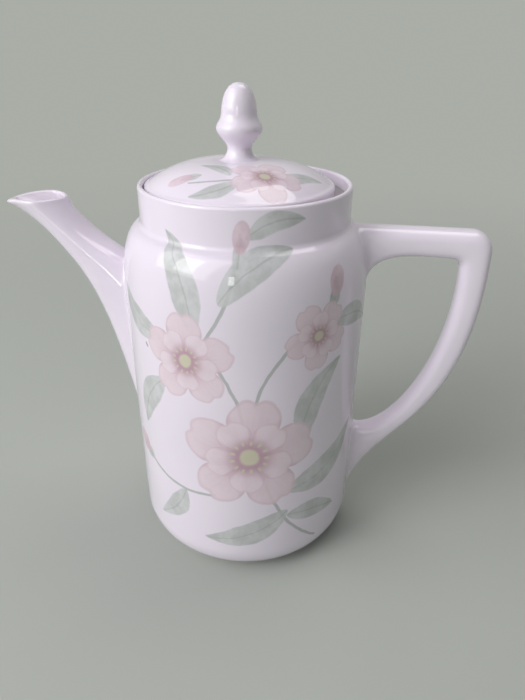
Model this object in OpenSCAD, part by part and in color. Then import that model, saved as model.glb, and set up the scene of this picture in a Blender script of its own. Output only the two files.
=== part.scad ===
// Porcelain coffee pot with a recessed domed lid.
//
// Millimetres, +Z up. The origin lies on the pot's axis, on the table.
// The spout points along -X and the handle along +X.
// One rigid body is the pot: shell, foot ring, spout and handle, luted together.
// The other is the lid: dome, knob and locating flange. It lifts straight off along +Z.

/* [Body] */
// Height of the rim above the table
rim_h = 170; // [150:1:190]
// Radius of the straight outer wall
body_r = 52.1; // [49:0.1:58]
// Thickness of the wall
wall = 3.2; // [2.4:0.1:4.2]
// Thickness of the floor
floor_t = 4.5; // [3:0.1:7]
// How far the rounded bottom corner reaches in from the wall
corner_w = 8.6; // [6:0.1:9]
// Height of the rounded bottom corner
corner_h = 13; // [8:0.1:18]
// Height of the shoulder, from the collar down to the straight wall
shoulder_h = 29.8; // [24:0.1:36]
// Slope at which the shoulder leaves the collar, in degrees
shoulder_slope = 25; // [15:1:35]

/* [Foot ring] */
// Height of the foot ring, which is also the recess under the floor
foot_h = 2.5; // [1.5:0.1:4]
// Outer radius of the foot ring
foot_r = 44.2; // [42:0.1:46]
// Width of the foot ring
foot_w = 4.6; // [3:0.1:6]
// Rounding of the foot ring's lower edges
foot_round = 0.8; // [0.3:0.1:1.2]

/* [Collar and lid seat] */
// Outer radius of the collar
collar_r = 43.3; // [42:0.1:46]
// Height of the collar, from the shoulder to the rim
collar_h = 15; // [12:0.1:20]
// Radius of the soft crease between collar and shoulder
crease_r = 2.5; // [1:0.1:4]
// Thickness of the rim
rim_t = 2.2; // [1.8:0.1:3.2]
// Depth of the lid seat below the rim
seat_depth = 4.9; // [4:0.1:8]
// Width of the ledge that carries the lid
seat_w = 8.4; // [7:0.1:10]
// Thickness of the ledge at its inner lip
seat_t = 3.4; // [2.4:0.1:4.4]

/* [Spout] */
// How far the tip reaches out from the wall
spout_reach = 54; // [46:0.5:62]
// How far the tip lies below the rim
spout_tip_drop = 13; // [6:0.5:20]
// Horizontal length of the open mouth, from tip to back
mouth_l = 28.5; // [24:0.5:32]
// How much higher the back of the mouth lies than the tip
mouth_rise = 2.6; // [0:0.1:5]
// How far the lips arch above the straight line from tip to back
mouth_arch = 1.2; // [0:0.1:2]
// Width of the mouth
mouth_w = 22.6; // [19:0.2:26]
// Width of the narrow neck below the mouth
neck_w = 20; // [17:0.2:23]
// Width of the spout where it grows out of the wall
spout_root_w = 30; // [26:0.5:34]
// Height at which the underside of the spout leaves the wall
spout_foot_z = 30; // [24:0.5:40]
// Thickness of the spout's wall
spout_wall = 2.4; // [1.8:0.1:3]
// Width of the hole in the wall behind the spout
pour_w = 14; // [10:0.5:18]
// Height of the hole in the wall behind the spout
pour_h = 50; // [30:1:54]

/* [Handle] */
// How far the handle reaches out from the wall
handle_reach = 48; // [42:0.2:54]
// Thickness of the handle, seen from the side
handle_t = 11.5; // [9:0.1:14]
// Depth of the handle, seen from behind
handle_d = 12.4; // [9:0.1:15]
// How far the top of the handle lies below the rim
handle_drop = 15.6; // [12:0.1:22]
// Outer radius of the handle's corner
handle_corner_r = 8; // [5:0.1:12]
// How far the fillet under the handle's upper root runs down the wall
handle_root_top = 22; // [14:0.5:28]
// Height at which the handle's V shaped lower root ends on the wall
handle_foot_z = 14; // [6:0.5:18]
// Height of the lower root on the wall
handle_root_foot = 43; // [38:0.5:54]

/* [Lid] */
// How far the lid lies off the axis in its seat, towards the spout
lid_shift = 2.4; // [0:0.1:2.6]
// Gap left between lid and collar on the spout side
lid_gap = 0.3; // [0.2:0.05:0.6]
// Thickness of the lid's edge
lid_edge_t = 3.4; // [2.4:0.1:4.4]
// Rise of the dome above the lid's edge
lid_rise = 9.6; // [6:0.1:12]
// Fullness of the dome: 2 is a shallow bowl, more is flatter on top
dome_power = 3.2; // [2:0.1:5]
// Thickness of the dome
lid_wall = 3; // [2.2:0.1:4]
// Height of the flange below the lid
flange_h = 10.8; // [7:0.1:14]
// Thickness of the flange
flange_t = 2.8; // [2:0.1:4]

/* [Knob] */
// Radius of the acorn's cup
cup_r = 9.1; // [8:0.1:11]
// Height of the cup, from the stem to the acorn's nut
cup_h = 10.9; // [9:0.1:15]
// Radius of the nut where it leaves the cup
nut_r = 7; // [5.4:0.1:7.4]
// Height of the nut above the cup
nut_h = 12.5; // [9:0.1:15]
// Radius of the stem under the cup
stem_r = 4.8; // [4:0.1:6.4]
// Height of the stem's flare above the dome
stem_h = 4.4; // [3.6:0.1:8]
// Radius at which the stem's flare runs out on the dome
stem_foot_r = 8.8; // [8:0.1:12]

/* [Hidden] */
$fn = 128;
glaze = [0.93, 0.91, 0.94];
glaze_shade = [0.88, 0.86, 0.90];
biscuit = [0.87, 0.85, 0.80];
curve_steps = 14;     // straight pieces in each profile curve

// Heights and radii that follow from the sizes above.
floor_z = foot_h + floor_t;
collar_z = rim_h - collar_h;
seat_z = rim_h - seat_depth;
seat_r = collar_r - rim_t;
throat_r = seat_r - seat_w;
lid_r = seat_r - lid_shift - lid_gap;
flange_r = throat_r - lid_shift - lid_gap;
lid_edge_z = seat_z + lid_edge_t;
dome_z = lid_edge_z + lid_rise;
spout_h = rim_h - spout_tip_drop - spout_foot_z;
handle_z = rim_h - handle_drop;
handle_h = handle_z - handle_foot_z;

// ---- Curves ----------------------------------------------------------------

function unit(v) = v / norm(v);
function lerp(a, b, t) = a + (b - a) * t;
function ease(t) = let (c = min(max(t, 0), 1)) c * c * (3 - 2 * c);
function turn_left(v) = [-v[1], v[0]];

// A cubic Bezier curve through p[0] and p[3], and its direction.
function cubic(p, t) =
    p[0] * pow(1 - t, 3) + p[1] * 3 * t * pow(1 - t, 2)
    + p[2] * 3 * t * t * (1 - t) + p[3] * pow(t, 3);
function heading(p, t) = unit(
    (p[1] - p[0]) * pow(1 - t, 2) + (p[2] - p[1]) * 2 * t * (1 - t)
    + (p[3] - p[2]) * t * t);

// A quadratic curve written as a cubic one.
function quadratic(a, b, c) = [a, lerp(a, b, 2 / 3), lerp(c, b, 2 / 3), c];

// Points along a curve, a curve moved sideways, and an elliptical arc.
function along(p, steps) = [for (i = [0 : steps]) cubic(p, i / steps)];
function beside(p, gap, steps) =
    [for (i = [0 : steps]) cubic(p, i / steps) + turn_left(heading(p, i / steps)) * gap];
function arc(centre, rx, ry, from, to, steps) =
    [for (i = [0 : steps]) let (a = lerp(from, to, i / steps)) centre + [rx * cos(a), ry * sin(a)]];

// ---- Lofts -----------------------------------------------------------------

// A superellipse of 2 * half_w across. Its long axis runs from point a to point b
// of the XZ plane, and it is widest at the given share of that length.
function oval(a, b, half_w, power, widest, count) =
    let (axis = unit(b - a), size = norm(b - a), centre = a + axis * size * widest)
    [for (i = [0 : count - 1])
        let (
            angle = 360 * i / count,
            s = sign(cos(angle)) * pow(abs(cos(angle)), 2 / power),
            across = sign(sin(angle)) * pow(abs(sin(angle)), 2 / power),
            reach = (s > 0) ? (1 - widest) * size : widest * size,
            q = centre + axis * reach * s
        )
        [q[0], half_w * across, q[1]]];

// The skin over a row of rings, as triangles. Closed, the last ring meets the first
// and makes a tube. Open, each end gets a flat cap.
module loft(rings, closed = false) {
    rows = len(rings);
    count = len(rings[0]);
    last = closed ? rows : rows - 1;
    skin = [for (i = [0 : last - 1], j = [0 : count - 1])
        let (
            a = i * count + j,
            b = i * count + (j + 1) % count,
            c = ((i + 1) % rows) * count + (j + 1) % count,
            d = ((i + 1) % rows) * count + j
        )
        each [[a, c, b], [a, d, c]]];
    caps = closed ? [] : [
        [for (j = [0 : count - 1]) j],
        [for (j = [count - 1 : -1 : 0]) (rows - 1) * count + j]];
    polyhedron(points = [for (ring = rings) each ring], faces = concat(skin, caps), convexity = 8);
}

// ---- Body ------------------------------------------------------------------

// The shoulder starts where the crease's arc touches its slope.
slope_out = [cos(shoulder_slope), -sin(shoulder_slope)];
crease_touch = crease_r * (1 - sin(shoulder_slope)) / cos(shoulder_slope);
crease_centre = [collar_r + crease_r, collar_z + crease_touch];
shoulder_from = [collar_r, collar_z] + slope_out * crease_touch;
shoulder_bend = [body_r, shoulder_from[1] - (body_r - shoulder_from[0]) * tan(shoulder_slope)];
shoulder_path = quadratic(shoulder_from, shoulder_bend, [body_r, collar_z - shoulder_h]);

// Outside of the pot from the floor up to the rim's outer edge.
outer_line = concat(
    arc([body_r - corner_w, foot_h + corner_h], corner_w, corner_h, -90, 0, curve_steps),
    [for (i = [curve_steps : -1 : 0]) cubic(shoulder_path, i / curve_steps)],
    arc(crease_centre, crease_r, crease_r, 270 - shoulder_slope, 180, 5));

// Inside of the pot from the ledge's lip down to the floor.
cavity_r = body_r - wall;
inner_corner = [corner_w + wall / 2, corner_h - wall / 3];
under_seat_z = seat_z - seat_t;
neck_inside_r = collar_r - wall;
lip_round = seat_t / 4;
inner_line = concat(
    [[throat_r, seat_z - lip_round]],
    along(quadratic([throat_r, under_seat_z], [neck_inside_r, under_seat_z - 1],
                    [neck_inside_r, shoulder_from[1] - 1]), 6),
    beside(shoulder_path, -wall, curve_steps),
    arc([cavity_r - inner_corner[0], floor_z + inner_corner[1]],
        inner_corner[0], inner_corner[1], 0, -90, curve_steps));

// The pot as a solid plug, which trims the spout and the handle to its surface.
module body_envelope() {
    rotate_extrude()
        polygon(concat([[0, foot_h]], outer_line, [[collar_r, rim_h], [0, rim_h]]));
}

module shell_section() {
    rim_centre = [collar_r - rim_t / 2, rim_h - rim_t / 2];
    polygon(concat(
        [[0, foot_h]],
        outer_line,
        arc(rim_centre, rim_t / 2, rim_t / 2, 0, 180, 8),
        [[seat_r, seat_z], [throat_r + lip_round, seat_z]],
        inner_line,
        [[0, floor_z]]));
}

// The hole behind the spout, a slot with round ends.
pour_z = spout_foot_z + spout_h * 0.49;
module pour_hole() {
    straight = pour_h - pour_w;
    translate([-throat_r, 0, pour_z])
        rotate([90, 0, -90])
            linear_extrude(body_r) {
                translate([-pour_w / 2, -straight / 2]) square([pour_w, straight]);
                for (side = [-1, 1])
                    translate([0, side * straight / 2]) circle(d = pour_w);
            }
}

module pot_body() {
    color(glaze)
        difference() {
            rotate_extrude() shell_section();
            pour_hole();
        }
}

module foot_ring() {
    inner_r = foot_r - foot_w;
    color(biscuit)
        rotate_extrude()
            polygon(concat(
                [[foot_r, foot_h], [inner_r, foot_h]],
                arc([inner_r + foot_round, foot_round], foot_round, foot_round, 180, 270, 5),
                arc([foot_r - foot_round, foot_round], foot_round, foot_round, 270, 360, 5)));
}

// ---- Spout -----------------------------------------------------------------

spout_rows = 26;
spout_count = 36;
spout_tip = [-body_r - spout_reach, rim_h - spout_tip_drop];
mouth_back = spout_tip + [mouth_l, mouth_rise];

// A place given by its distance from the wall as a share of the spout's reach, and by
// its height above the spout's foot as a share of the spout's height.
function spout_at(out, up) = [-body_r - spout_reach * out, spout_foot_z + spout_h * up];

// The underside runs from inside the wall to the tip, the top edge from deep inside
// the pot to the back of the mouth. The two places between steer each curve.
under_path = [
    [wall * 1.4 - body_r, spout_foot_z], spout_at(0.2, 0.5),
    spout_at(0.146, 0.84), spout_tip];
top_path = [
    spout_at(-0.7, 0.45), spout_at(-0.13, 0.925),
    mouth_back + [mouth_l * 0.28, -spout_h * 0.212], mouth_back];

function spout_width(t) =
    cubic([spout_root_w, spout_root_w, neck_w * 2 - mouth_w, mouth_w], t);
function spout_power(t) = lerp(2.4, 1.5, ease((t - 0.7) / 0.3));
function spout_widest(t) = lerp(0.5, 0.6, t);

// A wall cut at a slant is longer, so the bore's ends step in by the wall over the sine.
function slant(path, axis, t) =
    let (h = heading(path, t)) max(0.35, abs(h[0] * axis[1] - h[1] * axis[0]));

// Near the mouth the rings arch up, most a third of the way from tip to back, so that the
// tip droops a little.
function spout_ring(t, skin) =
    let (
        a = cubic(under_path, t),
        b = cubic(top_path, t),
        axis = unit(b - a),
        up = turn_left(-axis),
        arch = mouth_arch * ease(t * 3 - 2)
    )
    [for (q = oval(a + axis * skin / slant(under_path, axis, t),
                   b - axis * skin / slant(top_path, axis, t),
                   spout_width(t) / 2 - skin, spout_power(t), spout_widest(t), spout_count))
        let (
            share = (([q[0], q[2]] - a) * axis) / norm(b - a),
            lift = arch * 27 / 4 * share * pow(1 - share, 2)
        )
        q - [up[0], 0, up[1]] * lift];

// The lip rolls over from the outside to the bore in a half round.
lip_h = spout_wall * 0.375;
function lip_ring(angle) =
    let (
        outside = spout_ring(1, 0),
        inside = spout_ring(1, spout_wall),
        up = turn_left(-unit(mouth_back - spout_tip))
    )
    [for (i = [0 : spout_count - 1])
        lerp(outside[i], inside[i], (1 - cos(angle)) / 2)
        - [up[0], 0, up[1]] * lip_h * sin(angle)];

module spout() {
    color(glaze)
        difference() {
            loft(concat(
                [for (i = [0 : spout_rows]) spout_ring(i / spout_rows, 0)],
                [for (angle = [45, 90, 135]) lip_ring(angle)],
                [for (i = [spout_rows : -1 : 0]) spout_ring(i / spout_rows, spout_wall)]),
                closed = true);
            body_envelope();
        }
}

// ---- Handle ----------------------------------------------------------------

handle_count = 28;
handle_x = body_r + handle_reach;
bar_z = handle_z - handle_t;
grip_x = handle_x - handle_t;
corner_in_r = handle_corner_r / 2;

// A place given by its distance from the wall as a share of the handle's reach, and by
// its height above the handle's foot as a share of the handle's height.
function handle_at(out, up) = [body_r + handle_reach * out, handle_foot_z + handle_h * up];

// Outer and inner edge of the handle, in three stretches: bar, corner and grip. Both
// ends of each edge lie inside the pot's wall, which the handle is trimmed to.
bar_from = [body_r - handle_t * 1.2, handle_z];
bar_to = [handle_x - handle_corner_r, handle_z];
bar_outer = quadratic(bar_from, (bar_from + bar_to) / 2, bar_to);
bar_inner = [
    [body_r - wall * 1.25, bar_z - handle_root_top],
    [body_r + handle_reach * 0.01, bar_z - handle_root_top * 0.023],
    [body_r + handle_reach * 0.083, bar_z + handle_root_top * 0.045],
    [grip_x - corner_in_r, bar_z]];
grip_outer = [
    [handle_x, handle_z - handle_corner_r], handle_at(1.08, 0.345),
    handle_at(0.22, 0.355), [body_r - wall * 0.3, handle_foot_z]];
grip_inner = [
    [grip_x, bar_z - corner_in_r], [grip_x + handle_reach * 0.092, bar_z - handle_h * 0.294],
    handle_at(0.39, 0.232), [body_r - wall * 1.25, handle_foot_z + handle_root_foot]];

function edge_points(bar, corner, radius, grip) = concat(
    along(bar, 10),
    [for (a = [75 : -15 : 15]) corner + radius * [cos(a), sin(a)]],
    along(grip, 22));

handle_outer = edge_points(bar_outer,
    [handle_x - handle_corner_r, handle_z - handle_corner_r], handle_corner_r, grip_outer);
handle_inner = edge_points(bar_inner,
    [grip_x - corner_in_r, bar_z - corner_in_r], corner_in_r, grip_inner);

// The lower root narrows to a V on its outer side. Both roots are a little wider.
module handle() {
    last = len(handle_outer) - 1;
    rings = [for (i = [0 : last])
        let (
            t = i / last,
            flare = 1 + 0.2 * ease(1 - t * 4) + 0.15 * ease(t * 4 - 3),
            pinch = 0.75 * ease(t * 3.2 - 2.2)
        )
        [for (q = oval(handle_outer[i], handle_inner[i], handle_d / 2 * flare, 3, 0.5,
                       handle_count))
            let (
                size = norm(handle_inner[i] - handle_outer[i]),
                away = norm([q[0], q[2]] - handle_outer[i]) / size
            )
            [q[0], q[1] * (1 - pinch * pow(1 - away, 2)), q[2]]]];
    color(glaze)
        difference() {
            loft(rings);
            body_envelope();
        }
}

// ---- Lid -------------------------------------------------------------------

// The dome's height above the lid's edge, at radius r.
function dome_top(r) = lid_edge_z + lid_rise * (1 - pow(r / lid_r, dome_power));

edge_round = lid_edge_t * 0.45;
edge_soft = lid_edge_t / 4;
dome_line = [for (i = [0 : curve_steps * 2])
    let (r = (lid_r - edge_round) * i / (curve_steps * 2)) [r, dome_top(r)]];

module at_lid() {
    translate([-lid_shift, 0, 0]) children();
}

module lid_envelope() {
    rotate_extrude()
        polygon(concat([[0, seat_z]], dome_line, [[lid_r - edge_round, seat_z]]));
}

module lid() {
    hollow_r = flange_r - flange_t * 1.35;
    hollow_rise = dome_z - lid_wall - seat_z;
    edge_top = dome_line[len(dome_line) - 1];
    color(glaze_shade)
        at_lid()
            rotate_extrude()
                polygon(concat(
                    dome_line,
                    arc([edge_top[0], edge_top[1] - edge_round], edge_round, edge_round, 70, 0, 5),
                    arc([lid_r - edge_soft, seat_z + edge_soft], edge_soft, edge_soft, 0, -90, 4),
                    [for (i = [0 : curve_steps])
                        let (r = hollow_r * (1 - i / curve_steps))
                        [r, seat_z + hollow_rise * (1 - pow(r / hollow_r, 5))]]));
}

module lid_flange() {
    low = seat_z - flange_h;
    soft = flange_t * 0.4;
    color(biscuit)
        at_lid()
            rotate_extrude()
                polygon(concat(
                    [[flange_r, seat_z], [flange_r - flange_t, seat_z]],
                    arc([flange_r - flange_t + soft, low + soft], soft, soft, 180, 270, 5),
                    arc([flange_r - soft, low + soft], soft, soft, 270, 360, 5)));
}

// The knob is an acorn: a flared stem, a round cup and a pointed nut.
module knob() {
    stem_z = dome_z + stem_h;
    nut_z = stem_z + cup_h;
    cup_z = stem_z + cup_h * 0.68;
    nut_power = 2.3;
    nut_foot = 8;
    function nut_point(angle) =
        [nut_r * pow(cos(angle), 2 / nut_power),
         nut_z + nut_h * pow(sin(angle), 2 / nut_power)];
    sunk_z = dome_z - lid_wall * 0.6;
    flare = [[stem_foot_r, dome_top(stem_foot_r) - stem_h * 0.04],
        [lerp(stem_r, stem_foot_r, 0.4), dome_z],
        [stem_r, dome_z + stem_h * 0.5], [stem_r, stem_z]];
    lower_cup = [[stem_r, stem_z], [stem_r, stem_z + cup_h * 0.21],
        [cup_r, cup_z - cup_h * 0.25], [cup_r, cup_z]];
    upper_cup = [[cup_r, cup_z], [cup_r, cup_z + cup_h * 0.17],
        [nut_r * 1.01, nut_z - cup_h * 0.08], nut_point(nut_foot)];
    color(glaze)
        at_lid()
            difference() {
                rotate_extrude()
                    polygon(concat(
                        [[0, sunk_z], [stem_foot_r, sunk_z]],
                        along(flare, 8),
                        along(lower_cup, 8),
                        along(upper_cup, 8),
                        [for (i = [1 : 12]) nut_point(lerp(nut_foot, 90, i / 12))]));
                lid_envelope();
            }
}

pot_body();
foot_ring();
spout();
handle();
lid();
lid_flange();
knob();
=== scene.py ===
# %% [markdown]
# # A porcelain coffee pot
#
# The real pot is slip-cast porcelain: a shell, a spout and a handle are cast apart, luted
# together while they are leather hard, and then glazed as one. The lid carries its knob in
# the same way. In Blender each casting becomes one mesh, and the pot's exact sizes come
# first, because every curve below is drawn from them.

# %% Load the measured model
import math
import bmesh
import bpy
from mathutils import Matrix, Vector


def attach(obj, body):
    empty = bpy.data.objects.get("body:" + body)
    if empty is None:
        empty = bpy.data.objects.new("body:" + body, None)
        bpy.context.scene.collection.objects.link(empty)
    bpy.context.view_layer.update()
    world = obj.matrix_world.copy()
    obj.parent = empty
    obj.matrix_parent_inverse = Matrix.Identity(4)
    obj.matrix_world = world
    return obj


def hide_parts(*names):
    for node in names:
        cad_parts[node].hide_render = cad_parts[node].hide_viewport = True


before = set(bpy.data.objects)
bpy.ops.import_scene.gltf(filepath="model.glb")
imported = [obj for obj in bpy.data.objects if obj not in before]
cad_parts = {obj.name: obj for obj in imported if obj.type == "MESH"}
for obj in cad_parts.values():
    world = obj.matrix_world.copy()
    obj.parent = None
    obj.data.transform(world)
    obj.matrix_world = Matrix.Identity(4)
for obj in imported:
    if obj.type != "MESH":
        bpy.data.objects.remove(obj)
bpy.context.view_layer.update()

# %% Sizes, in millimetres
MM = 0.001                      # the scene is in metres

# The pot: rim, wall, bottom corner, shoulder, foot, collar and the ledge inside it.
rim_h, body_r, wall, floor_t = 170, 52.1, 3.2, 4.5
corner_w, corner_h = 8.6, 13
shoulder_h, shoulder_slope = 29.8, math.radians(25)
foot_h = 2.5
collar_r, collar_h, crease_r = 43.3, 15, 2.5
rim_t, seat_depth, seat_w, seat_t = 2.2, 4.9, 8.4, 3.4

# The spout, and the pouring hole behind it.
spout_reach, spout_tip_drop, spout_foot_z = 54, 13, 30
mouth_l, mouth_rise, mouth_arch, mouth_w = 28.5, 2.6, 1.2, 22.6
neck_w, spout_root_w, spout_wall = 20, 30, 2.4
pour_w, pour_h = 14, 50

# The handle.
handle_reach, handle_t, handle_d, handle_drop = 48, 11.5, 12.4, 15.6
handle_corner_r, handle_root_top = 8, 22
handle_foot_z, handle_root_foot = 14, 43

# The lid and its knob.
lid_shift, lid_gap, lid_edge_t, lid_rise = 2.4, 0.3, 3.4, 9.6
dome_power, lid_wall, flange_t = 3.2, 3, 2.8
cup_r, cup_h, nut_r, nut_h = 9.1, 10.9, 7, 12.5
stem_r, stem_h, stem_foot_r = 4.8, 4.4, 8.8

# Heights and radii that follow from them.
floor_z = foot_h + floor_t
collar_z = rim_h - collar_h
seat_z = rim_h - seat_depth
seat_r = collar_r - rim_t
throat_r = seat_r - seat_w
lid_r = seat_r - lid_shift - lid_gap
flange_r = throat_r - lid_shift - lid_gap
lid_edge_z = seat_z + lid_edge_t
dome_z = lid_edge_z + lid_rise
spout_h = rim_h - spout_tip_drop - spout_foot_z
handle_z = rim_h - handle_drop
handle_h = handle_z - handle_foot_z
print("height to the knob's tip:", dome_z + stem_h + cup_h + nut_h, "mm")

# %% [markdown]
# ## Curves
#
# A potter draws a profile with a few sweeping lines. A cubic Bezier does the same with four
# points: it starts at the first, ends at the last, and the two between steer it. All
# profiles here lie in a flat plane, so a point is a pair of numbers.

# %% Curve helpers
def lerp(a, b, t):
    return a + (b - a) * t


def ease(t):
    t = min(max(t, 0), 1)
    return t * t * (3 - 2 * t)


def cubic(p, t):
    s = 1 - t
    return tuple(a * s**3 + 3 * b * t * s * s + 3 * c * t * t * s + d * t**3
                 for a, b, c, d in zip(*p))


def quadratic(a, b, c):
    return [a, tuple(lerp(u, v, 2 / 3) for u, v in zip(a, b)),
            tuple(lerp(u, v, 2 / 3) for u, v in zip(c, b)), c]


def heading(p, t, step=1e-4):
    a, b = cubic(p, max(t - step, 0)), cubic(p, min(t + step, 1))
    return Vector((b[0] - a[0], b[1] - a[1])).normalized()


def along(p, steps):
    return [cubic(p, i / steps) for i in range(steps + 1)]


def arc(centre, rx, ry, start, end, steps):
    angles = [math.radians(lerp(start, end, i / steps)) for i in range(steps + 1)]
    return [(centre[0] + rx * math.cos(a), centre[1] + ry * math.sin(a)) for a in angles]


print("points on a quarter circle in 24 steps:", len(arc((0, 0), 1, 1, 0, 90, 24)))

# %% [markdown]
# ## Turning a profile
#
# The shell, the lid and the knob are round, as if they came off a potter's wheel. So each is
# one line of vertices on the XZ plane that the spin operator turns round the axis. With
# `use_merge` the last copy joins the first, and merging doubles closes the poles.

# %% Spin a profile, and finish a mesh as a piece
def turned(profile, centre_x=0, steps=160):
    shape = bmesh.new()
    verts = [shape.verts.new(((centre_x + r) * MM, 0, z * MM)) for r, z in profile]
    edges = [shape.edges.new(pair) for pair in zip(verts, verts[1:])]
    bmesh.ops.spin(shape, geom=verts + edges, cent=(centre_x * MM, 0, 0), axis=(0, 0, 1),
                   angle=math.tau, steps=steps, use_merge=True)
    bmesh.ops.remove_doubles(shape, verts=shape.verts[:], dist=1e-6)
    return shape


def finished(shape, name, body, node, crease=48):
    bmesh.ops.recalc_face_normals(shape, faces=shape.faces[:])
    for face in shape.faces:
        face.smooth = True
    for edge in shape.edges:
        edge.smooth = edge.calc_face_angle(0) < math.radians(crease)
    mesh = bpy.data.meshes.new(name)
    shape.to_mesh(mesh)
    shape.free()
    piece = bpy.data.objects.new(name, mesh)
    bpy.context.scene.collection.objects.link(piece)
    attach(piece, body)
    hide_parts(node)
    print(f"{name}: {len(mesh.polygons)} faces")
    return piece

# %% [markdown]
# ## The shell
#
# A straight wall, a rounded bottom corner, a soft shoulder, a crease and a collar. Inside the
# rim a ledge carries the lid. The outside line is kept as a list of its own, because the
# spout and the handle are trimmed against it later.

# %% The shell's outside line
crease_touch = crease_r * (1 - math.sin(shoulder_slope)) / math.cos(shoulder_slope)
shoulder_from = (collar_r + math.cos(shoulder_slope) * crease_touch,
                 collar_z - math.sin(shoulder_slope) * crease_touch)
shoulder_bend = (body_r,
                 shoulder_from[1] - (body_r - shoulder_from[0]) * math.tan(shoulder_slope))
shoulder = quadratic(shoulder_from, shoulder_bend, (body_r, collar_z - shoulder_h))
crease_centre = (collar_r + crease_r, collar_z + crease_touch)
crease_slope = 270 - math.degrees(shoulder_slope)

outside_line = (
    arc((body_r - corner_w, foot_h + corner_h), corner_w, corner_h, -90, 0, 24)
    + along(shoulder, 40)[::-1]
    + arc(crease_centre, crease_r, crease_r, crease_slope, 180, 10)[1:])
print("outside line:", len(outside_line), "points")

# %% The rim, and the shell's inside line
def beside(p, gap, steps):
    places = []
    for i in range(steps + 1):
        (x, z), way = cubic(p, i / steps), heading(p, i / steps)
        places.append((x - way.y * gap, z + way.x * gap))
    return places


lip_round = seat_t / 4
fillet = 0.6
under_seat_z = seat_z - seat_t
neck_inside_r = collar_r - wall
inner_corner = (corner_w + wall / 2, corner_h - wall / 3)
inside_line = (
    arc((seat_r - fillet, seat_z + fillet), fillet, fillet, 0, -90, 5)
    + arc((throat_r + lip_round, seat_z - lip_round), lip_round, lip_round, 90, 180, 5)
    + along(quadratic((throat_r, under_seat_z), (neck_inside_r, under_seat_z - 1),
                      (neck_inside_r, shoulder_from[1] - 1)), 12)
    + beside(shoulder, -wall, 30)[2:]
    + arc((body_r - wall - inner_corner[0], floor_z + inner_corner[1]),
          *inner_corner, 0, -90, 24))
rim = arc((collar_r - rim_t / 2, rim_h - rim_t / 2), rim_t / 2, rim_t / 2, 0, 180, 12)
print("rim and inside line:", len(rim) + len(inside_line), "points")

# %% Turn the shell
shell = turned([(0, foot_h)] + outside_line + rim + inside_line + [(0, floor_z)])
print("shell as turned:", len(shell.faces), "faces")

# %% [markdown]
# Behind the spout the caster cuts a slot with round ends through the wall. A Boolean with a
# cutter of that shape does the same, and it is applied at once, so that the shell stays one
# plain mesh.

# %% Cut the pouring hole
def slot_cutter(width, height, centre_z):
    shape = bmesh.new()
    bmesh.ops.create_circle(shape, cap_ends=True, radius=width / 2 * MM, segments=48)
    for vert in shape.verts:                       # pull the two halves of the circle apart
        vert.co.y += math.copysign((height - width) / 2 * MM, vert.co.y + 1e-9)
    for vert in shape.verts:                       # stand it up beside the wall
        vert.co = Vector((-(body_r + wall) * MM, vert.co.x, vert.co.y + centre_z * MM))
    grown = bmesh.ops.extrude_face_region(shape, geom=shape.faces[:])
    moved = [item for item in grown["geom"] if isinstance(item, bmesh.types.BMVert)]
    bmesh.ops.translate(shape, verts=moved, vec=(wall * 4 * MM, 0, 0))
    bmesh.ops.recalc_face_normals(shape, faces=shape.faces[:])
    return shape


def as_object(shape, name):
    mesh = bpy.data.meshes.new(name)
    shape.to_mesh(mesh)
    shape.free()
    thing = bpy.data.objects.new(name, mesh)
    bpy.context.scene.collection.objects.link(thing)
    return thing


bmesh.ops.recalc_face_normals(shell, faces=shell.faces[:])
blank = as_object(shell, "blank")
pour_z = spout_foot_z + spout_h * 0.49
cutter = as_object(slot_cutter(pour_w, pour_h, pour_z), "cutter")
cut = blank.modifiers.new("pouring hole", "BOOLEAN")
cut.operation, cut.solver, cut.object = "DIFFERENCE", "EXACT", cutter
shell = bmesh.new()
shell.from_object(blank, bpy.context.evaluated_depsgraph_get())
for helper in (blank, cutter):
    bpy.data.objects.remove(helper)
pot_shell = finished(shell, "pot_shell", "pot", "pot_body", crease=40)

# %% [markdown]
# ## Joining a casting to the shell
#
# The spout and the handle are lofts: rings of points that change along a path. A ring is
# extruded edge by edge, and the new ring is set in its place, again and again. Where the
# casting meets the shell, the potter smooths the joint with a wet sponge. Each long line of
# the loft is therefore cut where it meets the shell and bent into a small skirt that runs
# out flat on the wall.

# %% Where the wall is
def wall_radius(z):
    line = outside_line + [(collar_r, rim_h)]
    for (r0, z0), (r1, z1) in zip(line, line[1:]):
        if z0 <= z <= z1 and z1 > z0:
            return lerp(r0, r1, (z - z0) / (z1 - z0))
    return line[0][0] if z < line[0][1] else collar_r


def outside(p):
    return math.hypot(p.x, p.y) - wall_radius(p.z)


def on_wall(p, lift=0.0):
    angle, r = math.atan2(p.y, p.x), wall_radius(p.z) + lift
    return Vector((r * math.cos(angle), r * math.sin(angle), p.z))


def wall_normal(p):
    angle = math.atan2(p.y, p.x)
    slope = wall_radius(p.z + 0.4) - wall_radius(p.z - 0.4)
    return Vector((math.cos(angle) * 0.8, math.sin(angle) * 0.8, -slope)).normalized()


def meets_wall(line, inner, outer):
    for _ in range(40):
        middle = (inner + outer) / 2
        inner, outer = (middle, outer) if outside(line(middle)) < 0 else (inner, middle)
    return outer


print("wall radius at half height:", round(wall_radius(rim_h / 2), 2), "mm")

# %% The skirt of one long line
def leaves_wall(line, cross, towards, reach):
    """The place on a line at a given distance from where it meets the wall."""
    near, far = cross, towards
    start = line(cross)
    for _ in range(30):
        middle = (near + far) / 2
        near, far = (near, middle) if (line(middle) - start).length > reach else (middle, far)
    return near


skin_lift, under_wall = 0.03, 0.05          # the skirt rides on the wall, its hem goes under


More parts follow.
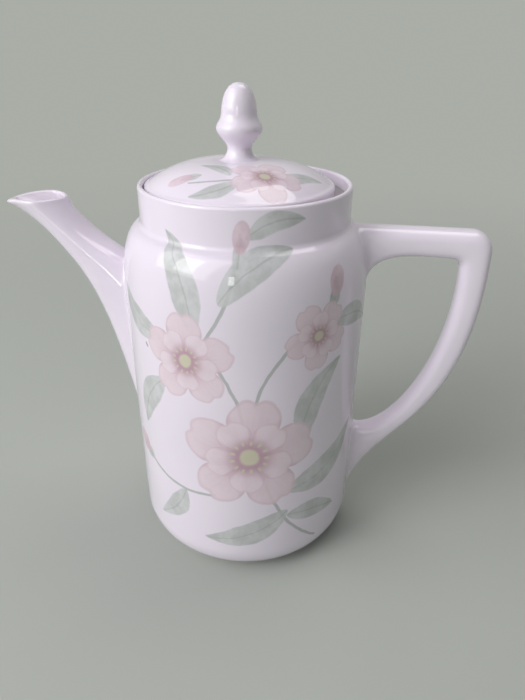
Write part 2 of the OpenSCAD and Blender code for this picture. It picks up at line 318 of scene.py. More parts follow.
def skirt(line, cross, lift_off, outward, reach, steps=6):
    """Points from the wall up onto the line, like a fillet."""
    corner, top = line(cross), line(lift_off)
    normal = wall_normal(corner)
    away = (outward - normal * outward.dot(normal)).normalized()
    edge = on_wall(corner + away * reach)
    corner = on_wall(corner, skin_lift)
    points = [on_wall(edge + away * 0.2, -under_wall)]
    for i in range(steps):
        t = i / steps
        points.append(edge * (1 - t)**2 + corner * 2 * t * (1 - t) + top * t * t)
    return points


print("a skirt starts", under_wall, "mm under the wall and leaves it in 6 steps")

# %% Stretch a loft from ring to ring
def first_ring(shape, places):
    verts = [shape.verts.new(p * MM) for p in places]
    for pair in zip(verts, verts[1:] + verts[:1]):
        shape.edges.new(pair)
    return verts


def ring_edges(shape, verts):
    return [shape.edges.get(pair) for pair in zip(verts, verts[1:] + verts[:1])]


def stretch(shape, verts, places):
    grown = bmesh.ops.extrude_edge_only(shape, edges=ring_edges(shape, verts))
    new = {item for item in grown["geom"] if isinstance(item, bmesh.types.BMVert)}
    ring = [next(edge.other_vert(old) for edge in old.link_edges
                 if edge.other_vert(old) in new) for old in verts]
    for vert, place in zip(ring, places):
        vert.co = place * MM
    return ring


def oval(a, b, half_w, power, widest, count):
    a, b = Vector(a), Vector(b)
    size, axis = (b - a).length, (b - a).normalized()
    centre = a + axis * size * widest
    places = []
    for i in range(count):
        c, s = math.cos(math.tau * i / count), math.sin(math.tau * i / count)
        lengthwise = math.copysign(abs(c) ** (2 / power), c)
        across = math.copysign(abs(s) ** (2 / power), s)
        q = centre + axis * lengthwise * size * ((1 - widest) if lengthwise > 0 else widest)
        places.append(Vector((q.x, half_w * across, q.y)))
    return places


print("an oval from x 0 to 2 begins at", tuple(oval((0, 0), (2, 0), 1, 2, 0.5, 8)[0]))

# %% [markdown]
# ## The spout
#
# The spout rises in a lazy S from low on the wall, narrows to a neck and opens into an almond
# shaped mouth with a pointed beak. Its lip is rolled over, and the bore follows the outside
# at the thickness of the wall. Both skins come from one function, with the depth below the
# outside as its last argument.

# %% The spout's curves
spout_tip = (-body_r - spout_reach, rim_h - spout_tip_drop)
mouth_back = (spout_tip[0] + mouth_l, spout_tip[1] + mouth_rise)


def spout_at(out, up):
    return (-body_r - spout_reach * out, spout_foot_z + spout_h * up)


under_path = [(wall * 1.4 - body_r, spout_foot_z), spout_at(0.2, 0.5),
              spout_at(0.146, 0.84), spout_tip]
top_path = [spout_at(-0.7, 0.45), spout_at(-0.13, 0.925),
            (mouth_back[0] + mouth_l * 0.28, mouth_back[1] - spout_h * 0.212), mouth_back]
spout_count = 56
root_power, mouth_power = 2.4, 1.5          # 2 is an ellipse, more is squarer, less a lens


def spout_ring(t, skin):
    a, b = Vector(cubic(under_path, t)), Vector(cubic(top_path, t))
    axis, size = (b - a).normalized(), (b - a).length
    up = Vector((axis.y, -axis.x))

    def slant(path):               # a slanted cut through the wall shows it thicker
        way = heading(path, t)
        return max(0.35, abs(way.x * axis.y - way.y * axis.x))

    width = cubic([(spout_root_w,), (spout_root_w,), (neck_w * 2 - mouth_w,), (mouth_w,)], t)[0]
    ring = oval(a + axis * skin / slant(under_path), b - axis * skin / slant(top_path),
                width / 2 - skin, power=lerp(root_power, mouth_power, ease((t - 0.7) / 0.3)),
                widest=lerp(0.5, 0.6, t), count=spout_count)
    for p in ring:                 # arch the mouth; 27 / 4 makes the hump's top 1 high
        share = (Vector((p.x, p.z)) - a).dot(axis) / size
        lift = mouth_arch * ease(t * 3 - 2) * 27 / 4 * share * (1 - share) ** 2
        p.x, p.z = p.x - up.x * lift, p.z - up.y * lift
    return ring


def spout_line(k, skin):
    return lambda t: spout_ring(t, skin)[k]


print("the spout's beak is at x, z", spout_tip, "mm")

# %% The spout's long lines, from the wall to the mouth and back inside
spout_rows, spout_fillet = 56, 3.4
outer_lines, inner_lines = [], []
for k in range(spout_count):
    line = spout_line(k, 0)
    cross = meets_wall(line, 0.0, 1.0)
    start = leaves_wall(line, cross, 1.0, spout_fillet)
    ring = spout_ring(cross, 0)
    middle = sum(ring, Vector()) / spout_count
    outward = (line(cross) - middle)
    rise = (line(min(cross + 0.02, 1)) - line(cross)).normalized()
    outward = (outward - rise * outward.dot(rise)).normalized()
    outer_lines.append(skirt(line, cross, start, outward, spout_fillet)
                       + [line(lerp(start, 1, i / spout_rows)) for i in range(spout_rows + 1)])
    line = spout_line(k, spout_wall)
    cross = meets_wall(line, 0.0, 1.0)
    inner_lines.append([line(lerp(1, cross, i / spout_rows)) for i in range(spout_rows + 1)]
                       + [on_wall(line(cross), -under_wall)])
print("lines outside:", len(outer_lines), "of", len(outer_lines[0]), "points")

# %% Roll the lip, and loft the spout
lip_h = spout_wall * 0.375
mouth_way = (Vector(mouth_back) - Vector(spout_tip)).normalized()
mouth_up = Vector((-mouth_way.y, 0, mouth_way.x))
lip_rings = []
for angle in (22, 45, 67, 90, 113, 135, 158):
    a = math.radians(angle)
    lip_rings.append([o.lerp(i, (1 - math.cos(a)) / 2) + mouth_up * lip_h * math.sin(a)
                      for o, i in zip(spout_ring(1, 0), spout_ring(1, spout_wall))])

spout = bmesh.new()
root = verts = first_ring(spout, [line[0] for line in outer_lines])
for i in range(1, len(outer_lines[0])):
    verts = stretch(spout, verts, [line[i] for line in outer_lines])
for places in lip_rings:
    verts = stretch(spout, verts, places)
for i in range(len(inner_lines[0])):
    verts = stretch(spout, verts, [line[i] for line in inner_lines])
bmesh.ops.bridge_loops(spout, edges=ring_edges(spout, root) + ring_edges(spout, verts))
pot_spout = finished(spout, "pot_spout", "pot", "spout", crease=70)

# %% [markdown]
# ## The handle
#
# The handle is a bar that turns a tight corner into a sweeping grip. Its upper root has a
# deep fillet below, and its lower root closes to a V on the wall. Outer and inner edge are
# drawn as two lines in the same plane, and the rings stand between them.

# %% The handle's edges
handle_x = body_r + handle_reach
bar_z, grip_x = handle_z - handle_t, handle_x - handle_t
corner_in_r = handle_corner_r / 2


def handle_at(out, up):
    return (body_r + handle_reach * out, handle_foot_z + handle_h * up)


bar_from, bar_to = (body_r - handle_t * 1.2, handle_z), (handle_x - handle_corner_r, handle_z)
bar_outer = quadratic(bar_from, ((bar_from[0] + bar_to[0]) / 2, handle_z), bar_to)
bar_inner = [(body_r - wall * 1.25, bar_z - handle_root_top),
             (body_r + handle_reach * 0.01, bar_z - handle_root_top * 0.023),
             (body_r + handle_reach * 0.083, bar_z + handle_root_top * 0.045),
             (grip_x - corner_in_r, bar_z)]
grip_outer = [(handle_x, handle_z - handle_corner_r), handle_at(1.08, 0.345),
              handle_at(0.22, 0.355), (body_r - wall * 0.3, handle_foot_z)]
grip_inner = [(grip_x, bar_z - corner_in_r),
              (grip_x + handle_reach * 0.092, bar_z - handle_h * 0.294),
              handle_at(0.39, 0.232), (body_r - wall * 1.25, handle_foot_z + handle_root_foot)]


def handle_edge(bar, centre, radius, grip):
    return along(bar, 30) + arc(centre, radius, radius, 90, 0, 18)[1:-1] + along(grip, 66)


handle_outer = handle_edge(bar_outer, (handle_x - handle_corner_r, handle_z - handle_corner_r),
                           handle_corner_r, grip_outer)
handle_inner = handle_edge(bar_inner, (grip_x - corner_in_r, bar_z - corner_in_r),
                           corner_in_r, grip_inner)
handle_count, last = 44, len(handle_outer) - 1
print("handle:", last + 1, "rings of", handle_count, "points")

# %% The handle's rings
def handle_ring(i):
    t = i / last
    outer, inner = Vector(handle_outer[i]), Vector(handle_inner[i])
    flare = 1 + 0.2 * ease(1 - t * 4) + 0.15 * ease(t * 4 - 3)
    pinch = 0.75 * ease(t * 3.2 - 2.2)
    ring = oval(outer, inner, handle_d / 2 * flare, power=3, widest=0.5, count=handle_count)
    for p in ring:
        away = (Vector((p.x, p.z)) - outer).length / (inner - outer).length
        p.y *= 1 - pinch * (1 - away) ** 2
    return ring


rings = [handle_ring(i) for i in range(last + 1)]


def handle_line(k):
    def place(t):
        i = min(int(t * last), last - 1)
        return rings[i][k].lerp(rings[i + 1][k], t * last - i)
    return place


foot_ring_h = (rings[-1][0] - rings[-1][handle_count // 2]).length
print("the handle's last ring is", round(foot_ring_h, 1), "mm high")

# %% The handle's long lines, with a skirt at both ends
handle_fillet, handle_rows = 3.0, 110
lines = []
for k in range(handle_count):
    line = handle_line(k)
    ends = []
    for first, towards in ((0.0, 0.5), (1.0, 0.5)):
        cross = meets_wall(line, first, towards)
        start = leaves_wall(line, cross, towards, handle_fillet)
        ring = [handle_line(j)(cross) for j in range(handle_count)]
        outward = line(cross) - sum(ring, Vector()) / handle_count
        rise = (line(start) - line(cross)).normalized()
        outward = (outward - rise * outward.dot(rise)).normalized()
        ends.append((start, skirt(line, cross, start, outward, handle_fillet)))
    (top, top_skirt), (foot, foot_skirt) = ends
    lines.append(top_skirt + [line(lerp(top, foot, i / handle_rows))
                              for i in range(handle_rows + 1)] + foot_skirt[::-1])
print("lines of the handle:", len(lines), "of", len(lines[0]), "points")

# %% Loft the handle
handle = bmesh.new()
upper_root = verts = first_ring(handle, [line[0] for line in lines])
for i in range(1, len(lines[0])):
    verts = stretch(handle, verts, [line[i] for line in lines])
for ring in (upper_root, verts):
    bmesh.ops.contextual_create(handle, geom=ring_edges(handle, ring))
pot_handle = finished(handle, "pot_handle", "pot", "handle", crease=70)

# %% [markdown]
# ## The lid
#
# A shallow dome, flatter on top than a bowl, with a rounded edge that drops onto the ledge.
# The knob is an acorn: a flared stem, a round cup and a pointed nut. Both are turned round
# the lid's own axis, which lies a little towards the spout, because the lid has slid to that
# side of its seat.

# %% Turn the dome
def dome_top(r):
    return lid_edge_z + lid_rise * (1 - (r / lid_r) ** dome_power)


edge_round, edge_soft = lid_edge_t * 0.45, lid_edge_t / 4
hollow_r = flange_r - flange_t * 1.35
hollow_rise = dome_z - lid_wall - seat_z
dome_edge_r = lid_r - edge_round
dome_line = [(dome_edge_r * i / 48, dome_top(dome_edge_r * i / 48)) for i in range(49)]
lid_profile = (
    dome_line
    + arc((dome_edge_r, dome_top(dome_edge_r) - edge_round), edge_round, edge_round, 62, 0, 9)
    + arc((lid_r - edge_soft, seat_z + edge_soft), edge_soft, edge_soft, 0, -90, 6)
    + [(hollow_r * (1 - i / 30), seat_z + hollow_rise * (1 - (1 - i / 30) ** 5))
       for i in range(31)])
lid_dome = finished(turned(lid_profile, -lid_shift), "lid_dome", "lid", "lid",
                    crease=50)

# %% Turn the acorn knob
sink = 1.5                                  # how deep the stem's foot goes into the dome
stem_z = dome_z + stem_h
nut_z, cup_z = stem_z + cup_h, stem_z + cup_h * 0.68
nut_power, nut_foot = 2.3, 8
flare = [(stem_foot_r, dome_top(stem_foot_r) - 0.02), (lerp(stem_r, stem_foot_r, 0.4), dome_z),
         (stem_r, dome_z + stem_h * 0.5), (stem_r, stem_z)]
lower_cup = [(stem_r, stem_z), (stem_r, stem_z + cup_h * 0.21), (cup_r, cup_z - cup_h * 0.25),
             (cup_r, cup_z)]
nut = [(nut_r * math.cos(a) ** (2 / nut_power), nut_z + nut_h * math.sin(a) ** (2 / nut_power))
       for a in (math.radians(lerp(nut_foot, 90, i / 40)) for i in range(40))]
upper_cup = [(cup_r, cup_z), (cup_r, cup_z + cup_h * 0.17), (nut_r * 1.01, nut_z - cup_h * 0.08),
             nut[0]]
knob_profile = ([(0, dome_z - sink), (stem_foot_r, dome_top(stem_foot_r) - sink)]
                + along(flare, 20) + along(lower_cup, 20)[1:] + along(upper_cup, 20)[1:]
                + nut[1:] + [(0, nut_z + nut_h)])
lid_knob = finished(turned(knob_profile, -lid_shift, 96), "lid_knob", "lid", "knob",
                    crease=60)

# %% [markdown]
# ## Writing shader maths as arithmetic
#
# A finish is a network of nodes, and most of it is sums. This class wraps one output of a
# node. Adding or multiplying two of them adds the Math node that does it, so a pattern reads
# like a formula.

# %% A value in a material
class Amount:
    def __init__(self, finish, socket):
        self.finish, self.socket = finish, socket

    def math(self, operation, *others):
        inputs = {0: self, **{i + 1: other for i, other in enumerate(others)}}
        return self.finish.node("ShaderNodeMath", {"operation": operation}, inputs)

    def __add__(self, other): return self.math("ADD", other)
    __radd__ = __add__
    def __mul__(self, other): return self.math("MULTIPLY", other)
    __rmul__ = __mul__
    def __sub__(self, other): return self.math("SUBTRACT", other)
    def __rsub__(self, other): return (self * -1) + other
    def __truediv__(self, other): return self.math("DIVIDE", other)
    def __pow__(self, other): return self.math("POWER", other)

    def soft_step(self, low, high):
        """0 below low, 1 above high, and a smooth slope between."""
        return self.finish.node(
            "ShaderNodeMapRange", {"interpolation_type": "SMOOTHSTEP"},
            {"Value": self, "From Min": low, "From Max": high})


print("sums on a value:", [name for name in vars(Amount) if name.startswith("__")][1:])

# %% [markdown]
# A finish is a material and its network. One method makes any node, another links or sets an
# input, and the few kinds that come up often have a short name of their own.

# %% A finish
class Finish:
    def __init__(self, name):
        self.material = bpy.data.materials.new(name)
        self.material.use_nodes = True
        self.tree = self.material.node_tree
        self.surface = self.tree.nodes["Principled BSDF"]

    def node(self, kind, settings=None, inputs=None, output=0):
        made = self.tree.nodes.new(kind)
        for name, value in (settings or {}).items():
            setattr(made, name, value)
        for key, value in (inputs or {}).items():
            self.feed(made.inputs[key], value)
        return Amount(self, made.outputs[output])

    def feed(self, socket, value):
        if isinstance(value, Amount):
            self.tree.links.new(value.socket, socket)
        else:
            socket.default_value = value

    def mix(self, share, a, b, blend="MIX"):
        return self.node("ShaderNodeMix", {"data_type": "RGBA", "blend_type": blend},
                         {0: share, 6: a, 7: b}, output=2)

    def noise(self, where, scale, detail=3, roughness=0.5, distortion=0):
        return self.node("ShaderNodeTexNoise", None,
                         {"Vector": where, "Scale": scale, "Detail": detail,
                          "Roughness": roughness, "Distortion": distortion})

    def set(self, **values):
        for name, value in values.items():
            self.feed(self.surface.inputs[name.replace("_", " ")], value)


print("short names on a finish:", [name for name in vars(Finish) if not name.startswith("_")])

# %% [markdown]
# ## The glaze
#
# Porcelain glaze is clear and glossy over a white body. What makes it look real is small: a
# faint lilac cast, a hardly visible unevenness that bends the highlights, and a slightly
# duller skin where hands have been. All of it reads object coordinates, in metres, so it
# keeps its scale.

# %% The glaze itself
white_glaze = (0.830, 0.757, 0.862, 1)
pooled_glaze = (0.740, 0.690, 0.790, 1)


def start_glaze(name):
    finish = Finish(name)
    place = finish.node("ShaderNodeTexCoord", output=3)
    cloud = finish.noise(place, 26, 2)
    colour = finish.mix(cloud.soft_step(0.35, 0.75) * 0.35, white_glaze, pooled_glaze)
    return finish, place, colour


def end_glaze(finish, place, colour, dull=0.0):
    ripple = finish.noise(place, 38, 2, 0.45)
    skin = finish.noise(place, 900, 2, 0.5)
    height = ripple + skin * 0.02
    bump = finish.node("ShaderNodeBump", None,
                       {"Strength": 0.16, "Distance": 0.001, "Height": height})
    smear = finish.noise(place, 60, 4, 0.6).soft_step(0.45, 0.8)
    finish.set(Base_Color=colour, Roughness=smear * 0.06 + 0.05 + dull, IOR=1.52, Normal=bump)
    return finish.material


plain_glaze = end_glaze(*start_glaze("plain_glaze"))
for piece in (pot_spout, pot_handle, lid_knob):
    piece.data.materials.append(plain_glaze)
    print(f"{piece.name} is glazed plain white")

# %% [markdown]
# ## Bare porcelain
#
# The ring the pot stands on and the flange under the lid are wiped clean of glaze before the
# firing, or they would stick. Bare porcelain is matt and fine grained, and it takes up a
# little grey.

# %% The bare rings
bare_white, bare_stained = (0.78, 0.75, 0.71, 1), (0.60, 0.57, 0.53, 1)


def bare_porcelain():
    finish = Finish("bare_porcelain")
    place = finish.node("ShaderNodeTexCoord", output=3)
    grain = finish.noise(place, 2200, 2)
    stain = finish.noise(place, 140, 4, 0.6).soft_step(0.5, 0.8)
    colour = finish.mix(stain * 0.6, bare_white, bare_stained)
    bump = finish.node("ShaderNodeBump", None,
                       {"Strength": 0.3, "Distance": 0.0002, "Height": grain})
    finish.set(Base_Color=colour, Roughness=grain * 0.15 + 0.55, Normal=bump)
    return finish.material


bare = bare_porcelain()
for name in ("foot_ring", "lid_flange"):
    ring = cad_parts[name]
    ring.data.materials.clear()
    ring.data.materials.append(bare)
print("bare rings:", bare.name)

# %% [markdown]
# ## Painting on a round wall
#
# Such pots are decorated with printed transfers: a sheet of flowers is wrapped round the
# wall and fired. So the pattern is painted on a flat sheet here as well. Its first direction
# is the distance round the pot from the middle of the front, or from the middle of the back
# for the spray there. Its second is the height, and both are in millimetres. A little noise
# on both gives the brush an unsteady hand.

# %% The sheet
def millimetres(finish, place):
    apart = finish.node("ShaderNodeSeparateXYZ", None, {0: place})
    socket = apart.socket.node.outputs
    return [Amount(finish, socket[i]) * 1000 for i in range(3)]


def unsteady(finish, place, u, v, amount=0.9):
    drift = finish.node("ShaderNodeTexNoise", None,
                        {"Vector": place, "Scale": 110, "Detail": 2}, output=1)
    apart = finish.node("ShaderNodeSeparateXYZ", None, {0: drift}).socket.node.outputs
    return (u + (Amount(finish, apart[0]) - 0.5) * amount * 2,
            v + (Amount(finish, apart[1]) - 0.5) * amount * 2)


def wrapped(finish, place, side=1):
    x, y, z = millimetres(finish, place)
    return unsteady(finish, place, (x * side).math("ARCTAN2", y * -side) * body_r, z)


def turned_to(u, v, at, turn):
    c, s = math.cos(math.radians(turn)), math.sin(math.radians(turn))
    return ((u - at[0]) * c + (v - at[1]) * s, (v - at[1]) * c - (u - at[0]) * s)


print("the sheet is", round(math.tau * body_r), "mm wide and", rim_h, "mm high")

# %% [markdown]
# ## Leaves, stalks and flowers
#
# Each motif is a distance turned into a soft edge. A leaf is widest a little above its stalk
# and bows to one side. A flower is a circle whose radius rises and falls five times, with a
# small notch in each petal. Washes of a darker tone follow the petals, as water colour does.

# %% Colours of the print
leaf_light, leaf_dark = (0.60, 0.61, 0.62, 1), (0.38, 0.41, 0.39, 1)
petal_pale, petal_light = (0.77, 0.64, 0.71, 1), (0.80, 0.69, 0.76, 1)
petal_mid, petal_deep = (0.62, 0.44, 0.52, 1), (0.44, 0.26, 0.33, 1)
heart_yellow = (0.62, 0.60, 0.46, 1)
print("darkest petal:", petal_deep[:3])

# %% Leaves and stalks
class Leaves:
    """Paints motifs, one over the other, on a sheet with two directions in millimetres."""

    def __init__(self, finish, place, u, v, colour):
        self.finish, self.place, self.u, self.v, self.colour = finish, place, u, v, colour
        self.wash = finish.noise(place, 130, 3, 0.6)

    def lay(self, mask, colour):
        self.colour = self.finish.mix(mask, self.colour, colour)

    def leaf(self, at, length, width, turn, bend=0.0, strength=0.85):
        along, across = turned_to(self.u, self.v, at, turn)
        t = along / (length / 2)
        full = (1 - t * t).math("MAXIMUM", 0)
        across = (across - full * bend).math("ABSOLUTE")
        half = (full ** 0.8) * (1 - t * 0.3) * (width / 2)
        inside = (half - across).soft_step(-0.35, 0.55) * full.soft_step(0.0, 0.12)
        rib = (1 - across.soft_step(0.1, 0.55)) * 0.5
        tone = (self.wash.soft_step(0.3, 0.7) * 0.7 + rib + t * 0.12)
        self.lay(inside * strength, self.finish.mix(tone, leaf_light, leaf_dark))

    def stalk(self, at, length, width, turn, bend=0.0):
        along, across = turned_to(self.u, self.v, at, turn)
        t = along / (length / 2)
        across = (across - (1 - t * t) * bend).math("ABSOLUTE")
        inside = (width / 2 - across).soft_step(-0.2, 0.3)
        inside = inside * (1 - t.math("ABSOLUTE")).soft_step(0, 0.04)
        self.lay(inside * 0.75, leaf_dark)


print("motifs:", [name for name in vars(Leaves) if not name.startswith("_")])

# %% Flowers and buds
class Print(Leaves):
    def petals(self, at, radius, turn, strength=0.9, pale=petal_pale):
        x, y = (self.u - at[0]) / radius, (self.v - at[1]) / radius
        r = (x * x + y * y).math("SQRT")
        ray = (y.math("ARCTAN2", x) - math.radians(turn))
        crest = (ray * 5).math("COSINE") * 0.5 + 0.5
        edge = (crest ** 0.32) * 0.42 + 0.58 - (crest ** 22) * 0.07
        inside = (edge - r).soft_step(-0.03, 0.03)
        fold = (1 - crest.soft_step(0.0, 0.22)) * r.soft_step(0.1, 0.5)
        vein = (ray * 45).math("COSINE") * 0.10 * (1 - r)
        deep = 1 - r.soft_step(0.1, 0.85)
        tone = deep * 0.75 + fold * 0.55 + vein + (self.wash - 0.5) * 0.7
        colour = self.finish.mix(tone, pale, petal_mid)
        self.lay(inside * strength, colour)
        rim_line = (edge - r).soft_step(-0.02, 0.01) * (1 - (edge - r).soft_step(0.01, 0.07))
        self.lay(rim_line * 0.35, petal_mid)

    def heart(self, at, radius):
        x, y = (self.u - at[0]) / radius, (self.v - at[1]) / radius
        r = (x * x + y * y).math("SQRT")
        ray = y.math("ARCTAN2", x)
        self.lay((1 - r.soft_step(0.16, 0.42)) * 0.7, petal_deep)
        self.lay((1 - r.soft_step(0.11, 0.17)) * 0.9, heart_yellow)
        spokes = (ray * 13).math("COSINE").soft_step(0.1, 0.8)
        ring = r.soft_step(0.2, 0.24) * (1 - r.soft_step(0.26, 0.32))
        self.lay(spokes * ring * 0.75, heart_yellow)

    def blossom(self, at, radius, turn):
        self.petals(at, radius, turn)
        self.petals(at, radius * 0.68, turn + 36, 0.8, petal_light)
        self.heart(at, radius)

    def bud(self, at, size, turn):
        c, s = math.cos(math.radians(turn)), math.sin(math.radians(turn))
        self.leaf((at[0] - c * size * 0.45, at[1] - s * size * 0.45), size * 0.9, size * 0.5, turn)
        along, across = turned_to(self.u, self.v, at, turn)
        r = ((along / (size * 0.55)) ** 2 + (across / (size * 0.36)) ** 2)
        tone = self.wash.soft_step(0.3, 0.7) * 0.6 + (along / size) * 0.5
        self.lay((1 - r.soft_step(0.75, 1.1)) * 0.85, self.finish.mix(tone, petal_mid, petal_pale))


print("and:", [name for name in vars(Print) if not name.startswith("_")])

# %% [markdown]
# Two marks aren't printed. One is a speck of iron that the kiln brought out. The other is
# painted shade: the lid's ledge is laid grey, so the slit beside the lid reads dark.

# %% A mark of the firing, and painted shade on the lid's ledge
# The second grey is painted shade for the lid's ledge, where the slit beside the lid lies in
# shade.
iron_grey, ledge_shade_grey = (0.16, 0.15, 0.17, 1), (0.32, 0.30, 0.30, 1)


def speck(sheet, at, length, width, turn):
    along, across = turned_to(sheet.u, sheet.v, at, turn)
    r = (along / (length / 2)) ** 2 + (across / (width / 2)) ** 2
    sheet.lay((1 - r.soft_step(0.3, 1.3)) * 0.7, iron_grey)


# Painted shade: grey laid on the ledge under the lid's edge, so that this recess reads dark.
def painted_ledge_shade(sheet):
    x, y, z = millimetres(sheet.finish, sheet.place)
    r = (x * x + y * y).math("SQRT")
    low = 1 - z.soft_step(seat_z, seat_z + 2.4)
    within = 1 - r.soft_step(seat_r - 0.5, seat_r + 0.1)
    sheet.lay(low * within * z.soft_step(rim_h - 9, rim_h - 7), ledge_shade_grey)


# where the painted shade on the ledge lies
print("the bare seat lies at z", round(seat_z, 1), "mm, inside r", round(seat_r, 1), "mm")

# %% [markdown]
# ## The spray on the pot and on the lid
#
# Three open flowers of different sizes climb from the lower right to the rim. Every leaf and
# bud starts on a stalk or under a petal, so stalks are laid first, leaves and buds next and
# flowers last. The back has a smaller spray. Its sheet is measured from the middle of the
# back, because the seam where the first sheet ends lies there. The lid is painted from
# above, so its sheet is simply its plan.

# %% Print the pot
finish, place, colour = start_glaze("printed_glaze")
spray = Print(finish, place, *wrapped(finish, place), colour)
for at, length, turn, bend in (
        ((30, 36), 50, 122, 5), ((0, 92), 62, 108, -6), ((-4, 138), 52, 66, -5),
        ((26, 112), 46, 52, 5), ((44, 134), 20, 74, 1), ((-24, 52), 40, 170, 4)):
    spray.stalk(at, length, 1.5, turn, bend)
for at, length, width, turn, bend in (
        ((46, 60), 46, 15, 28, -5), ((8, 30), 42, 13, 202, 4), ((41, 31), 30, 10, -14, 2),
        ((-34.5, 86.5), 34, 12, 240, -4), ((-28, 35.5), 30, 10, 232, 3), ((42, 92), 40, 13, 62, 6),
        ((-40, 127), 32, 11, 150, 4), ((-20.5, 142), 40, 12, 118, -5), ((14, 146), 36, 11, 30, 5),
        ((60, 122), 30, 10, -16, 3), ((22, 162), 28, 8, 12, 3)):
    spray.leaf(at, length, width, turn, bend)
spray.bud((-48.5, 58.5), 12, 148)
spray.bud((7, 160), 11, 84)
spray.bud((47, 142), 11, 75)
spray.blossom((-15, 113), 20, 20)
spray.blossom((38, 122), 15, 50)
spray.blossom((10, 70), 29, 84)
speck(spray, (-36, 113.5), 2.6, 1.1, -55)
# painted shade on the lid's ledge
painted_ledge_shade(spray)
print("the front takes", len(finish.tree.nodes), "nodes")

# %% Print the small spray on the back, and finish the pot
sprig = Print(finish, place, *wrapped(finish, place, side=-1), spray.colour)
for at, length, turn, bend in (((4, 84), 50, 64, 4), ((-10, 92), 36, 118, -4)):
    sprig.stalk(at, length, 1.3, turn, bend)
for at, length, width, turn, bend in (((-22, 70), 32, 11, 208, 4), ((22, 84), 32, 11, 38, -4),
                                      ((4, 112), 30, 10, 84, 3), ((6, 58), 28, 9, -40, 3)):
    sprig.leaf(at, length, width, turn, bend)
sprig.bud((-20, 112), 12, 118)
sprig.blossom((14, 106), 15, 35)
sprig.blossom((-4, 80), 19, 12)
spray.colour = sprig.colour
pot_shell.data.materials.append(end_glaze(finish, place, spray.colour))
print("printed_glaze:", len(finish.tree.nodes), "nodes")

# %% Print the lid
finish, place, colour = start_glaze("printed_lid_glaze")
x, y, _ = millimetres(finish, place)
sprig = Print(finish, place, *unsteady(finish, place, x + lid_shift, y, 0.6), colour)
sprig.stalk((0, -23), 30, 1.0, 12, -3)
for at, length, width, turn, bend in (((27, -14), 20, 7, 48, 2), ((-4, -30), 19, 6.5, 200, 2),
                                      ((-6, -17), 18, 6, 140, -2)):
    sprig.leaf(at, length, width, turn, bend)
sprig.bud((-18, -23), 9, 190)
sprig.blossom((13, -20), 14, 10)
lid_dome.data.materials.append(end_glaze(finish, place, sprig.colour))
print("printed_lid_glaze:", len(finish.tree.nodes), "nodes")

# %% [markdown]
# ## Floor, light and camera
#
# White porcelain shows whatever stands round it. A pale floor that curves up into a wall on
# all sides gives it something calm to reflect. Far from the pot the floor is shown in one
# even tone, to the camera and in reflections alone, so that the backdrop looks the same from
# all sides and adds no light.
#
# The light comes from the front left: a wide soft lamp, and within it a window that draws the
# highlights on shoulder and knob. A lamp above and behind lifts the tops of handle, lid and
# spout, a small low window gives the spout its bright ridge, and the sky fills the rest.

# %% The studio
flat_r, bend_r, studio_h = 1400, 700, 1700
studio = turned([(0, 0)] + [(r, 0) for r in (300, 700, 1100)]
                + arc((flat_r, bend_r), bend_r, bend_r, -90, 0, 16)[1:]
                + [(flat_r + bend_r, studio_h)], steps=64)
for face in studio.faces:
    face.smooth = True
floor = as_object(studio, "floor")
for polygon in floor.data.polygons:
    if polygon.normal.z < -0.5:
        polygon.flip()
print("floor:", len(floor.data.polygons), "faces")

# %% The floor's finish
near_tone, far_tone = (0.43, 0.45, 0.42, 1), (0.76, 0.78, 0.73, 1)
even_tone = (0.40, 0.42, 0.385, 1)
cloth = Finish("pale_floor")
place = cloth.node("ShaderNodeTexCoord", output=3)
_, depth, _ = millimetres(cloth, place)
cloth.set(Base_Color=cloth.mix(depth.soft_step(100, 1500), near_tone, far_tone),
          Roughness=0.9)
cloth.surface.inputs["Specular IOR Level"].default_value = 0.2

rays = cloth.node("ShaderNodeLightPath").socket.node.outputs
seen = Amount(cloth, rays["Is Camera Ray"]).math("MAXIMUM", Amount(cloth, rays["Is Glossy Ray"]))
away = cloth.node("ShaderNodeVectorMath", {"operation": "LENGTH"}, {0: place}, output=1)
even = cloth.node("ShaderNodeEmission", None, {"Color": even_tone})
both = cloth.node("ShaderNodeMixShader", None,
                  {0: seen * away.soft_step(0.25, 0.95),
                   1: Amount(cloth, cloth.surface.outputs[0]), 2: even})
cloth.feed(cloth.tree.nodes["Material Output"].inputs["Surface"], both)
floor.data.materials.append(cloth.material)
print("floor's finish:", len(cloth.tree.nodes), "nodes")

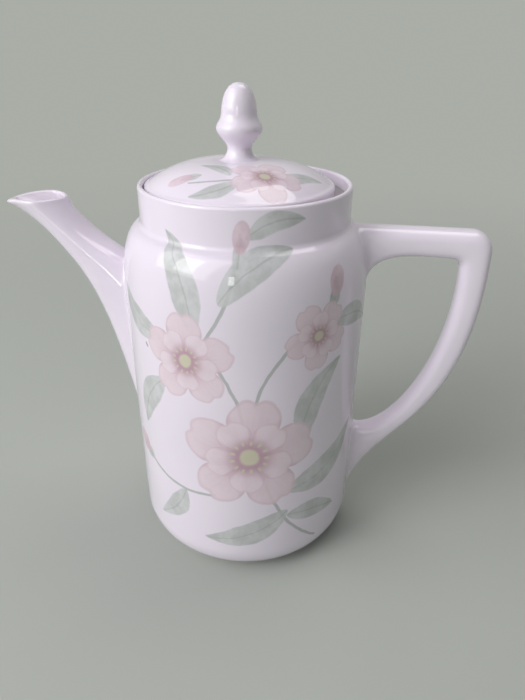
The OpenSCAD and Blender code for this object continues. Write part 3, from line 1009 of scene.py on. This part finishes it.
# %% The lights
def window(name, width, height, watts, azimuth, elevation, distance, colour=(1, 1, 1)):
    lamp = bpy.data.lights.new(name, "AREA")
    lamp.shape, lamp.size, lamp.size_y = "RECTANGLE", width, height
    lamp.energy, lamp.color = watts, colour
    thing = bpy.data.objects.new(name, lamp)
    a, e = math.radians(azimuth), math.radians(elevation)
    way = Vector((math.sin(a) * math.cos(e), -math.cos(a) * math.cos(e), math.sin(e)))
    thing.location = Vector((0, 0, 0.1)) + way * distance
    thing.rotation_euler = way.to_track_quat("Z", "Y").to_euler()
    bpy.context.scene.collection.objects.link(thing)
    return thing


# name, width and height in metres, watts, azimuth and elevation in degrees, distance
window("softbox", 1.6, 1.6, 17.6, -51, 36, 1.5)
window("tall_window", 0.50, 0.90, 6.2, -48, 30, 1.45)
window("ceiling", 0.8, 0.8, 6.0, 140, 68, 1.5, (1.0, 0.98, 0.96))
window("side_window", 0.13, 0.32, 0.9, -3, 12, 1.5)

world = bpy.data.worlds.new("sky")
bpy.context.scene.world = world
world.use_nodes = True
sky = world.node_tree.nodes["Background"]
sky.inputs["Color"].default_value, sky.inputs["Strength"].default_value = (0.95, 0.95, 1, 1), 0.19

# %% The camera
camera = bpy.data.objects.new("camera", bpy.data.cameras.new("camera"))
bpy.context.scene.collection.objects.link(camera)
bpy.context.scene.camera = camera
camera.data.sensor_width, camera.data.lens, camera.data.clip_start = 36, 28.8, 0.01

heading_ccw, pitch_down, roll = math.radians(8.153), math.radians(28.838), math.radians(0.555)
forward = Vector((-math.sin(heading_ccw) * math.cos(pitch_down),
                  math.cos(heading_ccw) * math.cos(pitch_down), -math.sin(pitch_down)))
right = Vector((math.cos(heading_ccw), math.sin(heading_ccw), 0))
up = right.cross(forward)
right, up = (right * math.cos(roll) + up * math.sin(roll),
             up * math.cos(roll) - right * math.sin(roll))
turn = camera.matrix_world.to_3x3()
turn.col[0], turn.col[1], turn.col[2] = right, up, -forward
camera.rotation_euler = turn.to_euler()
camera.location = Vector((40.17, -227.85, 219.20)) * MM

bpy.context.scene.view_settings.view_transform = "Standard"
print("camera at", [round(value, 3) for value in camera.location])
